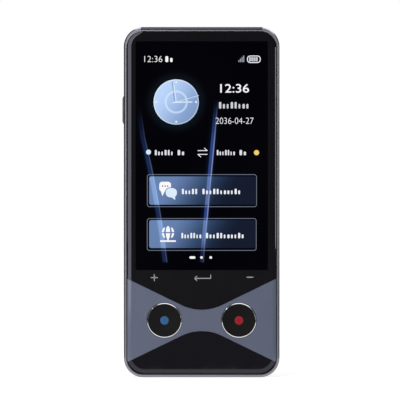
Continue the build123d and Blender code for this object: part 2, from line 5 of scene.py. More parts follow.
import bmesh
import bpy
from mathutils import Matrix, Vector


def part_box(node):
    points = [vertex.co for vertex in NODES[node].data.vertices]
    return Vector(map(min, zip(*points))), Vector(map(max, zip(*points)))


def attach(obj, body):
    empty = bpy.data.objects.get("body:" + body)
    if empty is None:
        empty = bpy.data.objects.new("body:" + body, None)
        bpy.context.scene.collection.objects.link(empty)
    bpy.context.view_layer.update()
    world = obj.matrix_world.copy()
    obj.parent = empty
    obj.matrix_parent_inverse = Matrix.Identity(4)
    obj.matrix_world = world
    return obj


bl_info = {
    "name": "Handheld translator dressing",
    "version": (1, 0, 0),
    "blender": (4, 5, 0),
    "location": "3D View > Sidebar > Translator",
    "description": "Finishes and screen pictures for a hand-held translator, "
                   "one operator for each group",
    "category": "Object",
}

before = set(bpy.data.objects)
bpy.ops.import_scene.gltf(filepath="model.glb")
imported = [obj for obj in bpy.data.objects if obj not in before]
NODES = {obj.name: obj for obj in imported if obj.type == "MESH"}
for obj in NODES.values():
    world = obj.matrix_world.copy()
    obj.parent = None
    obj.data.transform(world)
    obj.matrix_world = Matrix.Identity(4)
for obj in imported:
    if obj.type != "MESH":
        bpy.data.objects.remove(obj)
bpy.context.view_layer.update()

# Lengths are in millimetres, and MM turns them into metres.
MM = 0.001
GLASS_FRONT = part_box("front_glass")[0].y / MM
CUT_FRONT = -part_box("mid_frame")[0].y / MM
CHAMFER = 0.45
CUT_BACK = CUT_FRONT - CHAMFER
PICTURE_LIFT = 0.008    # from the glass to the lowest picture layer
LAYER_STEP = 0.016      # from one picture layer to the next
INK = 0.012             # thickness of a picture layer
HALF_PIXEL = 0.11       # half the pitch of the panel's pixels
BLACK = (0.0, 0.0, 0.0)


# ----- colours and node helpers -----

def tone(red, green, blue):
    """Scene colour of a screen colour given from 0 to 255."""
    parts = []
    for part in (red, green, blue):
        share = part / 255
        parts.append(share / 12.92 if share <= 0.04045 else ((share + 0.055) / 1.055) ** 2.4)
    return tuple(parts)


def scaled(colour, factor):
    """Colour made lighter or darker."""
    return tuple(min(1.0, part * factor) for part in colour)


def feed(tree, socket, value):
    """Link another socket to this one, or set its value."""
    if isinstance(value, bpy.types.NodeSocket):
        tree.links.new(value, socket)
    elif socket.type == "RGBA" and len(value) == 3:
        socket.default_value = (*value, 1.0)
    else:
        socket.default_value = value


def wire(tree, node, **inputs):
    """Set or link inputs of a node by name, with an underscore for each space."""
    for key, value in inputs.items():
        feed(tree, node.inputs[key.replace("_", " ")], value)


def add(tree, kind, settings=None, **inputs):
    """New shader node with its settings and its inputs."""
    made = tree.nodes.new("ShaderNode" + kind)
    for key, value in (settings or {}).items():
        setattr(made, key, value)
    wire(tree, made, **inputs)
    return made


def maths(tree, operation, *values):
    """Output of a Math node."""
    made = add(tree, "Math", {"operation": operation})
    for socket, value in zip(made.inputs, values):
        feed(tree, socket, value)
    return made.outputs[0]


def between(tree, value, low, high, to_low=0.0, to_high=1.0):
    """Smooth step of a value from one range to another."""
    made = add(tree, "MapRange", {"interpolation_type": "SMOOTHSTEP"}, Value=value,
               From_Min=low, From_Max=high, To_Min=to_low, To_Max=to_high)
    return made.outputs["Result"]


def mixer(tree, settings, values):
    """Mix node with some of its inputs, which share their names, given by number."""
    made = add(tree, "Mix", settings)
    for number, value in values.items():
        feed(tree, made.inputs[number], value)
    return made


def blended(tree, factor, first, second, blend="MIX"):
    """Colour between two colours."""
    made = mixer(tree, {"data_type": "RGBA", "blend_type": blend},
                 {0: factor, 6: first, 7: second})
    return made.outputs[2]


def added(tree, first, second):
    """Colour of two lights together."""
    return blended(tree, 1.0, first, second, "ADD")


def chosen(tree, factor, first, second):
    """Number between two numbers."""
    made = mixer(tree, {"data_type": "FLOAT"}, {0: factor, 2: first, 3: second})
    return made.outputs[0]


def place_of(tree, stretch=(1.0, 1.0, 1.0)):
    """Object coordinates in millimetres, stretched along each axis."""
    here = add(tree, "TexCoord")
    made = add(tree, "Mapping", Vector=here.outputs["Object"],
               Scale=tuple(part / MM for part in stretch))
    return made.outputs["Vector"]


def axes_of(tree):
    """The three object coordinates, each in millimetres."""
    return add(tree, "SeparateXYZ", Vector=place_of(tree)).outputs[:]


def noise(tree, place, scale, detail, **more):
    """Cloudy grey."""
    return add(tree, "TexNoise", Vector=place, Scale=scale, Detail=detail,
               **more).outputs["Fac"]


def fresh(name, colour, roughness=0.5, metallic=0.0, specular=0.5, **more):
    """Material with one Principled shader; its shared values stay on the shader."""
    material = bpy.data.materials.new(name)
    material.use_nodes = True
    material.diffuse_color = (*colour, 1.0)
    tree = material.node_tree
    shader = tree.nodes["Principled BSDF"]
    wire(tree, shader, Base_Color=colour, Roughness=roughness, Metallic=metallic,
         Specular_IOR_Level=specular, **more)
    return material, tree, shader


def relieved(tree, shader, height, relief, strength=1.0):
    """Bump on the shader, its relief in mm."""
    bump = add(tree, "Bump", Strength=strength, Distance=relief * MM, Height=height)
    wire(tree, shader, Normal=bump.outputs["Normal"])


def grained(name, colour, size=0.25, spread=0.06, roughness=0.5, relief=0.04, metallic=0.0,
            specular=0.5, stretch=(1.0, 1.0, 1.0), soft=2.0, **more):
    """Finish with fine grain in its colour, its roughness and its surface. Sizes are in mm."""
    cloud_scale, rough_spread = 0.06, 0.08
    material, tree, shader = fresh(name, colour, roughness, metallic, specular, **more)
    here = place_of(tree, stretch)
    fine = noise(tree, here, 1.0 / size, soft)
    pale = scaled(colour, 1 + spread)
    mixed = blended(tree, fine, scaled(colour, 1 - spread), pale)
    mixed = blended(tree, noise(tree, here, cloud_scale, 1.0), mixed,
                    blended(tree, 0.5, mixed, pale))
    wire(tree, shader, Base_Color=mixed,
         Roughness=between(tree, fine, 0.25, 0.75, roughness - rough_spread,
                           roughness + rough_spread))
    relieved(tree, shader, fine, relief)
    return material


def dress(material, *names):
    """Give CAD nodes this material."""
    for name in names:
        for place in NODES[name].material_slots:
            place.material = material


# ----- meshes and flat shapes on the glass -----

def mesh_from(work, name):
    """Mesh data out of a working mesh."""
    data = bpy.data.meshes.new(name)
    work.to_mesh(data)
    work.free()
    return data


def in_order(parts, place):
    """Sort points or faces by place, so that each run writes them in the same order."""
    ranks = {part: rank for rank, part in enumerate(
        sorted(parts, key=lambda part: tuple(place(part))))}
    parts.sort(key=ranks.get)


def linked(name, data):
    """Object from data, linked to the scene."""
    made = bpy.data.objects.new(name, data)
    bpy.context.scene.collection.objects.link(made)
    return made


def settled(name, data, material, body):
    """Object from mesh data, dressed, riding on a body."""
    piece = linked(name, data)
    data.materials.clear()
    data.materials.append(material)
    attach(piece, body)


def face_depth(layer):
    """Place of a picture layer along the depth, in mm."""
    return GLASS_FRONT - PICTURE_LIFT - LAYER_STEP * layer


def rounded_box(left, right, low, high, radius, steps=6):
    """Corner points of a rounded rectangle, anticlockwise as seen from the front."""
    points = []
    corners = ((right - radius, high - radius, 0), (left + radius, high - radius, 90),
               (left + radius, low + radius, 180), (right - radius, low + radius, 270))
    for x, z, start in corners:
        for step in range(steps + 1):
            turn = math.radians(start + 90 * step / steps)
            points.append((x + radius * math.cos(turn), z + radius * math.sin(turn)))
    return points


def round_points(x, z, radius, count=48):
    """Points on a circle."""
    turns = [math.radians(360.0 * step / count) for step in range(count)]
    return [(x + radius * math.cos(turn), z + radius * math.sin(turn)) for turn in turns]


def bulged(share):
    """Cosine or sine drawn out a little, so that an oval has fuller corners."""
    return math.copysign(abs(share) ** 0.86, share)


class FlatShape:
    """Thin raised shapes in the plane of the screen, gathered into one mesh."""

    LOW_BLOCK = 0.7                     # height of a low block against a tall one
    BLOCK_WIDTHS = (0.6, 0.52, 0.44)    # shares of the pitch, in turn

    def __init__(self, layer, thickness=INK):
        self.mesh = bmesh.new()
        self.front = face_depth(layer) - thickness
        self.back = face_depth(layer)

    def points(self, outline, depth):
        """Outline points of the mesh at one depth."""
        return [self.mesh.verts.new((x * MM, depth * MM, z * MM)) for x, z in outline]

    def walls(self, first, second):
        """Side faces between two loops of points."""
        for index, here in enumerate(first):
            follow = (index + 1) % len(first)
            self.mesh.faces.new((here, first[follow], second[follow], second[index]))

    def fill(self, outline):
        """Closed prism over one outline."""
        if sum(ax * bz - bx * az for (ax, az), (bx, bz)
               in zip(outline, outline[1:] + outline[:1])) < 0:
            outline = outline[::-1]
        near, far = self.points(outline, self.front), self.points(outline, self.back)
        self.mesh.faces.new(near)
        self.mesh.faces.new(far[::-1])
        self.walls(near, far)
        return self

    def band(self, outer, inner):
        """Closed ring between two outlines with the same number of points."""
        loops = [self.points(outline, depth) for outline, depth in (
            (outer, self.front), (inner, self.front), (inner, self.back), (outer, self.back))]
        for first, second in zip(loops, loops[1:] + loops[:1]):
            self.walls(first, second)
        return self

    def word(self, left, right, low, high, count):
        """Row of rounded blocks that stands for a word; no block has a letter's form."""
        pitch = (right - left) / count
        for step in range(count):
            x = left + pitch * step
            tall = step in (0, 3) or step % 5 == 4
            top = high if tall else low + self.LOW_BLOCK * (high - low)
            width = self.BLOCK_WIDTHS[step % 3] * pitch
            self.fill(rounded_box(x, x + width, low, top, 0.2 * pitch, 3))
        return self

    def line(self, points, width):
        """Line of even width with round ends and joints."""
        for (ax, az), (bx, bz) in zip(points, points[1:]):
            length = math.hypot(bx - ax, bz - az)
            nx, nz = (az - bz) / length * width / 2, (bx - ax) / length * width / 2
            self.fill([(ax - nx, az - nz), (bx - nx, bz - nz), (bx + nx, bz + nz),
                       (ax + nx, az + nz)])
        for x, z in points:
            self.fill(round_points(x, z, width / 2, 12))
        return self

    def made(self, name, material, body="handset", slot="display_panel"):
        """Finish the piece and set it on its body."""
        bmesh.ops.recalc_face_normals(self.mesh, faces=self.mesh.faces)
        settled(name, mesh_from(self.mesh, name), material, body)


def figures(name, text, box, material, weight=0.0, depth=face_depth(1), body="handset"):
    """Plain numbers fitted into a box of (left, right, low, high), in mm."""
    curve = bpy.data.curves.new(name + "_line", "FONT")
    curve.body = text
    curve.offset = weight
    curve.resolution_u = 4
    holder = linked(name + "_line", curve)
    bpy.context.view_layer.update()
    data = bpy.data.meshes.new_from_object(
        holder.evaluated_get(bpy.context.evaluated_depsgraph_get()))
    bpy.data.objects.remove(holder)
    bpy.data.curves.remove(curve)
    data.name = name
    xs = [v.co.x for v in data.vertices]
    ys = [v.co.y for v in data.vertices]
    left, right, low, high = box
    for vertex in data.vertices:
        x = left + (vertex.co.x - min(xs)) / (max(xs) - min(xs)) * (right - left)
        z = low + (vertex.co.y - min(ys)) / (max(ys) - min(ys)) * (high - low)
        vertex.co = (x * MM, (depth - INK) * MM, z * MM)
    work = bmesh.new()
    work.from_mesh(data)
    bmesh.ops.remove_doubles(work, verts=work.verts, dist=1e-7)
    grown = bmesh.ops.extrude_face_region(work, geom=work.faces[:])
    raised = [part for part in grown["geom"] if isinstance(part, bmesh.types.BMVert)]
    bmesh.ops.translate(work, verts=raised, vec=(0, INK * MM, 0))
    bmesh.ops.recalc_face_normals(work, faces=work.faces)
    in_order(work.verts, lambda point: point.co)
    in_order(work.faces, lambda face: face.calc_center_median())
    work.to_mesh(data)
    work.free()
    settled(name, data, material, body)


# ----- finishes -----

def satin_frame(look):
    """Satin metallic paint with a bright-cut chamfer along the front edge."""
    roughness, metallic = 0.36, 0.75
    material = grained("satin_frame", tuple(look.frame_colour), size=0.12, spread=0.1,
                       roughness=roughness, relief=0.002, metallic=metallic)
    tree = material.node_tree
    shader = tree.nodes["Principled BSDF"]
    depth = maths(tree, "MULTIPLY", axes_of(tree)[1], -1.0)
    cut = maths(tree, "MULTIPLY", between(tree, depth, CUT_BACK, CUT_BACK + 0.02),
                between(tree, depth, CUT_FRONT - 0.02, CUT_FRONT - 0.01, 1.0, 0.0))
    paint = shader.inputs["Base Color"].links[0].from_socket
    wire(tree, shader, Base_Color=blended(tree, cut, paint, tuple(look.cut_colour)),
         Roughness=between(tree, cut, 0.0, 1.0, roughness, 0.1),
         Metallic=between(tree, cut, 0.0, 1.0, metallic, 1.0))
    return material


def plate_lacquer(look):
    """Metallic lacquer under a clear coat: flakes sparkle faintly in the colour."""
    colour = tuple(look.plate_colour)
    material, tree, shader = fresh("plate_lacquer", colour, 0.42, 0.05, 0.3,
                                   Coat_Weight=0.75, Coat_Roughness=0.06)
    here = place_of(tree)
    flakes = add(tree, "TexVoronoi", Vector=here, Scale=9.0)
    spark = between(tree, flakes.outputs["Color"], 0.86, 1.0, 0.0, 0.35)
    cloud = noise(tree, here, 0.09, 1.0)
    body = blended(tree, cloud, scaled(colour, 0.96), scaled(colour, 1.05))
    wire(tree, shader, Base_Color=blended(tree, spark, body, scaled(colour, 1.5)),
         Roughness=between(tree, cloud, 0.2, 0.8, 0.36, 0.46))
    return material


def black_gloss(name, colour, foot_colour, specular, haze=0.05):
    """Deep gloss with a cool coating and some haze, over a black that is paler towards the
    foot.
    """
    clean = 0.03
    material, tree, shader = fresh(name, colour, 0.04, 0.0, specular,
                                   Specular_Tint=(0.85, 0.84, 1.0))
    smear = noise(tree, place_of(tree, (1.0, 1.0, 0.5)), 0.11, 4.0, Roughness=0.6)
    # Paler towards the foot: foot_colour below 35 mm in height, colour above 70 mm.
    ink = blended(tree, between(tree, axes_of(tree)[2], 35.0, 70.0), foot_colour, colour)
    wire(tree, shader, Roughness=between(tree, smear, 0.45, 0.8, clean, clean + haze),
         Base_Color=blended(tree, smear, blended(tree, 0.15, ink, BLACK),
                            blended(tree, 0.02, ink, (0.1, 0.1, 0.1))))
    return material


def bright_ring():
    """Polished plating with hair-fine turning marks."""
    material, tree, shader = fresh("bright_ring", (0.86, 0.86, 0.88), 0.08, 1.0)
    marks = noise(tree, place_of(tree), 2.2, 3.0)
    wire(tree, shader, Roughness=between(tree, marks, 0.3, 0.7, 0.05, 0.13),
         Base_Color=blended(tree, marks, (0.82, 0.82, 0.84), (0.9, 0.9, 0.92)))
    return material


def lamp_lens(name, colour, glow):
    """Moulded lens with swirls in its colour, which may glow."""
    material, tree, shader = fresh(name, colour, 0.22, 0.0, 0.4, Emission_Strength=glow,
                                   Coat_Weight=0.3)
    swirl = noise(tree, place_of(tree), 1.4, 2.0)
    mixed = blended(tree, swirl, scaled(colour, 0.75), scaled(colour, 1.25))
    wire(tree, shader, Base_Color=mixed, Emission_Color=mixed)
    return material


def soft_cover(look):
    """Soft-touch paint over a finely eroded moulding."""
    return grained("soft_cover", tuple(look.cover_colour), size=0.3, spread=0.08,
                   roughness=0.62, relief=0.02, soft=3.0)


def woven_mesh():
    """Fine acoustic cloth: crossing threads, with painted shade in the gaps between them."""
    half_pitch = 0.14
    material, tree, shader = fresh("woven_mesh", tone(34, 34, 36), 0.8)
    x, _, z = axes_of(tree)
    thread = maths(tree, "MAXIMUM", maths(tree, "PINGPONG", x, half_pitch),
                   maths(tree, "PINGPONG", z, half_pitch))
    lightness = between(tree, thread, 0.06, 0.13)
    # Painted shade: the gaps between threads are near black, for the shade seen through them.
    wire(tree, shader, Base_Color=blended(tree, lightness, tone(6, 6, 7), tone(48, 48, 50)))
    relieved(tree, shader, lightness, 0.03)
    return material


def circuit_board():
    """Solder mask with copper runs showing through as a paler green."""
    green = tone(22, 82, 52)
    material, tree, shader = fresh("circuit_board", green, 0.35)
    cells = add(tree, "TexVoronoi", {"feature": "F1", "distance": "CHEBYCHEV"},
                Vector=place_of(tree, (1.0, 0.2, 1.0)), Scale=0.45)
    lines = maths(tree, "PINGPONG", cells.outputs["Distance"], 0.16)
    copper = between(tree, lines, 0.06, 0.1)
    wire(tree, shader, Base_Color=blended(tree, copper, green, tone(40, 118, 72)))
    relieved(tree, shader, copper, 0.03, strength=0.6)
    return material


def flex_film():
    """Amber film with parallel copper tracks."""
    amber = tone(150, 100, 40)
    material, tree, shader = fresh("flex_film", amber, 0.3)
    track = between(tree, maths(tree, "PINGPONG", axes_of(tree)[0], 0.3), 0.1, 0.16)
    wire(tree, shader, Base_Color=blended(tree, track, amber, tone(196, 128, 62)))
    return material


def cell_foam():
    """Open foam with painted shade in its pores, darker towards each cell's middle."""
    material, tree, shader = fresh("cell_foam", tone(38, 38, 40), 0.95)
    pores = add(tree, "TexVoronoi", {"feature": "DISTANCE_TO_EDGE"}, Vector=place_of(tree),
                Scale=3.0)
    # Painted shade: each pore darkens towards its middle, where the hollow lies in shade.
    pore_shade = between(tree, pores.outputs["Distance"], 0.02, 0.2)
    wire(tree, shader, Base_Color=blended(tree, pore_shade, tone(58, 58, 60), tone(26, 26, 28)))
    relieved(tree, shader, pore_shade, 0.08)
    return material


def clear_window():
    """Smoked glass in front of the lens."""
    material, tree, shader = fresh("clear_window", tone(150, 152, 160), 0.01,
                                   Transmission_Weight=0.97, IOR=1.5)
    dust = noise(tree, place_of(tree), 0.6, 3.0)
    wire(tree, shader,
         Base_Color=blended(tree, dust, tone(144, 146, 154), tone(156, 158, 166)))
    return material


# ----- light on the screen -----

CLOCK_PLACE = (-10.17, 110.01)
CLOCK_HALO = 4.2                # reach of the halo beyond the clock's rim

# Each beam's pale line passes through "start" at the height BEAM_TOP. Its deep band lies
# beside the line, at "band". Both fade out upwards over "fade", and "low" is what is left of
# them at the foot.
BEAM_TOP = 96.0
BEAM_FOOT = (45.6, 46.6)        # heights between which a beam begins
BEAM_RISE = (50.0, 57.0)        # heights between which a beam gains its full power
BEAM_HALO = (2.0, 0.07)         # reach and share of the glow round a band
BEAM_LINE = (0.06, 0.32)        # half widths of the pale line, sharp and faded
LEFT_BEAM = {"start": -22.85, "slope": 0.2472, "bend": -0.001359, "upper_slope": 0.14,
             "band": -0.84, "half": 0.42, "soft": 0.72, "fade": (82.0, 109.0), "low": 0.8}
RIGHT_BEAM = {"start": 5.2, "slope": -0.0922, "bend": 0.0, "upper_slope": -0.085,
              "band": -0.72, "half": 0.5, "soft": 0.28, "fade": (89.0, 112.0), "low": 0.25}

# Screen colours of the band and the line, for the left beam and for the right beam.
GLASS_BEAMS = (((24, 41, 78), (66, 78, 106)), ((43, 67, 128), (128, 136, 178)))
TILE_BEAMS = (((84, 106, 132), (96, 112, 136)), ((82, 101, 148), (108, 124, 156)))

# Screen colours of a button, by the share of the way across it.
TILE_STOPS = ((0.0, (104, 132, 176)), (0.18, (103, 128, 174)), (0.3, (91, 114, 158)),
              (0.42, (72, 95, 134)), (0.53, (54, 77, 110)), (0.65, (40, 58, 88)),
              (0.78, (28, 39, 61)), (0.9, (22, 30, 48)), (1.0, (21, 29, 46)))
TILE_LEFT, TILE_RISE = -22.0, 1.2    # where the fading starts, and how far above the foot
TILE_REACH, TILE_LEAN = 34.0, 0.64   # how far it goes, and how much it leans


def glowing(name, picture, *more):
    """Screen light in the colours of a picture, a little darker between the pixels."""
    material, tree, shader = fresh(name, BLACK, 0.6, specular=0.0, Emission_Strength=1.0)
    x, _, z = axes_of(tree)
    colour = picture(tree, x, z, *more)
    gap = maths(tree, "MINIMUM", maths(tree, "PINGPONG", z, HALF_PIXEL),
                maths(tree, "PINGPONG", x, HALF_PIXEL))
    wire(tree, shader, Emission_Color=blended(
        tree, between(tree, gap, 0.0, 0.2 * HALF_PIXEL), blended(tree, 0.94, BLACK, colour),
        colour))
    return material


def lit(name, *screen_colour):
    """Even screen light of one colour, given from 0 to 255."""
    return glowing(name, lambda tree, x, z: tone(*screen_colour))


def screen_white():
    """White that most of the screen's marks share, made the first time it is asked for."""
    return bpy.data.materials.get("screen_white") or lit("screen_white", 250, 250, 252)


def beam_light(tree, x, z, beam, band_colour, line_colour):
    """Slanting beam crossing the screen: a deep band with a thin pale line along its edge."""
    drop = maths(tree, "MAXIMUM", maths(tree, "SUBTRACT", BEAM_TOP, z), 0.0)
    climb = maths(tree, "MAXIMUM", maths(tree, "SUBTRACT", z, BEAM_TOP), 0.0)
    lean = maths(tree, "MULTIPLY_ADD", drop, beam["bend"], beam["slope"])
    edge = maths(tree, "MULTIPLY_ADD", drop, lean, beam["start"])
    edge = maths(tree, "MULTIPLY_ADD", climb, -beam["upper_slope"], edge)
    offset = maths(tree, "SUBTRACT", x, edge)
    from_band = maths(tree, "ABSOLUTE", maths(tree, "SUBTRACT", offset, beam["band"]))
    reach, share = BEAM_HALO
    broad = between(tree, from_band, beam["half"], beam["half"] + beam["soft"], 1.0, 0.0)
    halo = between(tree, from_band, beam["half"], beam["half"] + reach, share, 0.0)
    line = between(tree, maths(tree, "ABSOLUTE", offset), *BEAM_LINE, 1.0, 0.0)
    ends = maths(tree, "MULTIPLY", between(tree, z, *beam["fade"], 1.0, 0.0),
                 between(tree, z, *BEAM_FOOT))
    power = maths(tree, "MULTIPLY", ends, between(tree, z, *BEAM_RISE, beam["low"], 1.0))
    deep = maths(tree, "MULTIPLY", maths(tree, "ADD", broad, halo), power)
    pale = maths(tree, "MULTIPLY", line, power)
    return added(tree, blended(tree, deep, BLACK, tone(*band_colour)),
                 blended(tree, pale, BLACK, tone(*line_colour)))


def beams(tree, x, z, left, right):
    """Both beams together, each with its band colour and its line colour."""
    return added(tree, beam_light(tree, x, z, LEFT_BEAM, *left),
                 beam_light(tree, x, z, RIGHT_BEAM, *right))


def panel_picture(tree, x, z, radius):
    """Dark ground with the two beams and a faint halo round the clock."""
    cloud = noise(tree, place_of(tree), 0.03, 1.0)
    ground = blended(tree, cloud, tone(2, 2, 5), tone(7, 6, 12))
    picture = added(tree, ground, beams(tree, x, z, *GLASS_BEAMS))
    from_clock = add(tree, "VectorMath", {"operation": "LENGTH"}, Vector=add(
        tree, "CombineXYZ", X=maths(tree, "SUBTRACT", x, CLOCK_PLACE[0]),
        Y=maths(tree, "SUBTRACT", z, CLOCK_PLACE[1])).outputs["Vector"])
    halo = between(tree, from_clock.outputs["Value"], radius, radius + CLOCK_HALO, 1.0, 0.0)
    return blended(tree, halo, picture, tone(9, 17, 23), "ADD")


def tile_picture(tree, x, z, low):
    """Button that fades from pale blue at the left to night blue, beams showing through."""
    rise = maths(tree, "SUBTRACT", z, low + TILE_RISE)
    slant = maths(tree, "SUBTRACT", x, maths(tree, "MULTIPLY", rise, TILE_LEAN))
    ramp = add(tree, "ValToRGB", Fac=maths(
        tree, "DIVIDE", maths(tree, "ADD", slant, -TILE_LEFT), TILE_REACH))
    elements = ramp.color_ramp.elements
    while len(elements) < len(TILE_STOPS):
        elements.new(0.5)
    for element, (spot, colour) in zip(elements, TILE_STOPS):
        element.position = spot
        element.color = (*tone(*colour), 1.0)
    return added(tree, ramp.outputs["Color"], beams(tree, x, z, *TILE_BEAMS))


def line_picture(tree, x, z):
    """Grey outline of the buttons, brighter where a beam crosses it."""
    return added(tree, tone(110, 117, 132), beams(tree, x, z, *GLASS_BEAMS))


def clock_picture(tree, x, z, radius, pale, deep):
    """Part of the clock, pale at the upper left and deeper at the lower right."""
    across = maths(tree, "MULTIPLY", maths(tree, "SUBTRACT", x, CLOCK_PLACE[0]), 0.82)
    up = maths(tree, "MULTIPLY", maths(tree, "SUBTRACT", z, CLOCK_PLACE[1]), 0.58)
    share = between(tree, maths(tree, "SUBTRACT", across, up), -radius, radius)
    return blended(tree, share, tone(*pale), tone(*deep))


# ----- settings -----

class TranslatorLook(bpy.types.PropertyGroup):
    """Colours of the housing."""

    frame_colour: bpy.props.FloatVectorProperty(
        name="Frame", description="Satin paint of the frame",
        subtype="COLOR", size=3, min=0, max=1, default=tone(150, 149, 162))
    cut_colour: bpy.props.FloatVectorProperty(
        name="Frame chamfer", description="Bare metal of the chamfer along the front edge",
        subtype="COLOR", size=3, min=0, max=1, default=tone(204, 203, 212))
    plate_colour: bpy.props.FloatVectorProperty(
        name="Keypad plate", description="Lacquer of the bow-tie plate",
        subtype="COLOR", size=3, min=0, max=1, default=tone(98, 104, 126))
    cover_colour: bpy.props.FloatVectorProperty(
        name="Back cover", description="Soft-touch paint of the back cover",
        subtype="COLOR", size=3, min=0, max=1, default=tone(62, 64, 74))
    lens_glow: bpy.props.FloatProperty(
        name="Key light", description="Light given off by the coloured key lenses",
        subtype="FACTOR", min=0, max=2, default=0.12)


class TranslatorScreen(bpy.types.PropertyGroup):
    """Sizes of the lit picture."""

    side: bpy.props.FloatProperty(
        name="Half width", description="Half the width of the lit picture",
        subtype="DISTANCE", unit="LENGTH", min=0.02, max=0.03, default=0.0264)
    foot: bpy.props.FloatProperty(
        name="Lower edge", description="Height of the picture's lower edge",
        subtype="DISTANCE", unit="LENGTH", min=0.04, max=0.06, default=0.04293)
    head: bpy.props.FloatProperty(
        name="Upper edge", description="Height of the picture's upper edge",
        subtype="DISTANCE", unit="LENGTH", min=0.1, max=0.138, default=0.13425)
    clock_radius: bpy.props.FloatProperty(
        name="Clock radius", description="Outer radius of the clock",
        subtype="DISTANCE", unit="LENGTH", min=0.004, max=0.012, default=0.00903)


class TranslatorStage(bpy.types.PropertyGroup):
    """Lamps, world and camera."""

    room_light: bpy.props.FloatProperty(
        name="Room light", description="Even light from the whole room",
        min=0, max=2, default=0.4)
    key_light: bpy.props.FloatProperty(
        name="Key light", description="Brightness of the large soft lamp and its wing",
        min=0, max=10, default=2.4)
    edge_light: bpy.props.FloatProperty(
        name="Edge light", description="Brightness of the narrow lamp at the side",
        min=0, max=10, default=5.2)
    camera_distance: bpy.props.FloatProperty(
        name="Camera distance", description="Distance of the camera from the mid-depth plane",
        subtype="DISTANCE", unit="LENGTH", min=0.5, max=5, default=1.6)
    view_height: bpy.props.FloatProperty(
        name="View height", description="Height of the strip that the camera shows",
        subtype="DISTANCE", unit="LENGTH", min=0.1, max=0.5, default=0.1597)


# ----- stage -----

# What a mirror sees of the room: from, to, and the brightness at each.
LEFT_WALL = (-0.95, -0.6, 0.0, 0.1)
RIGHT_WALL = (0.975, 0.992, 0.0, 0.15)
CEILING = (0.74, 0.9, 0.0, 1.15)
CEILING_TILT = 0.17

# What a mirror sees of the floor, in metres: a painted pool of light before the handset, fading
# beside it, and a painted shadow under it.
FLOOR_PAINTED_POOL = (-0.1, -0.05, 0.0, 0.8)
FLOOR_BESIDE = (0.1, 0.2, 1.0, 0.0)
FLOOR_PAINTED_SHADOW = (-0.0069, -0.0062, 1.0, 0.46)
FLOOR_FAR = 0.1
FLOOR_SEEN = 0.7                # own light of the floor to the eye
FLOOR_GREY = (0.8, 0.8, 0.8)

# Lamps, in metres: name, near and far end on the floor, lower and upper edge, setting.
LAMPS = (("key_lamp", (-0.075, -0.60), (-0.56, -0.30), 0.011, 0.61, "key_light"),
         ("side_lamp", (-0.56, -0.30), (-0.577, -0.22), 0.048, 0.61, "key_light"),
         ("edge_lamp", (0.53, -0.265), (0.56, -0.175), 0.045, 0.17, "edge_light"))

SENSOR_WIDTH = 36.0
CAMERA_X, CAMERA_Z = -0.00067, 0.07088


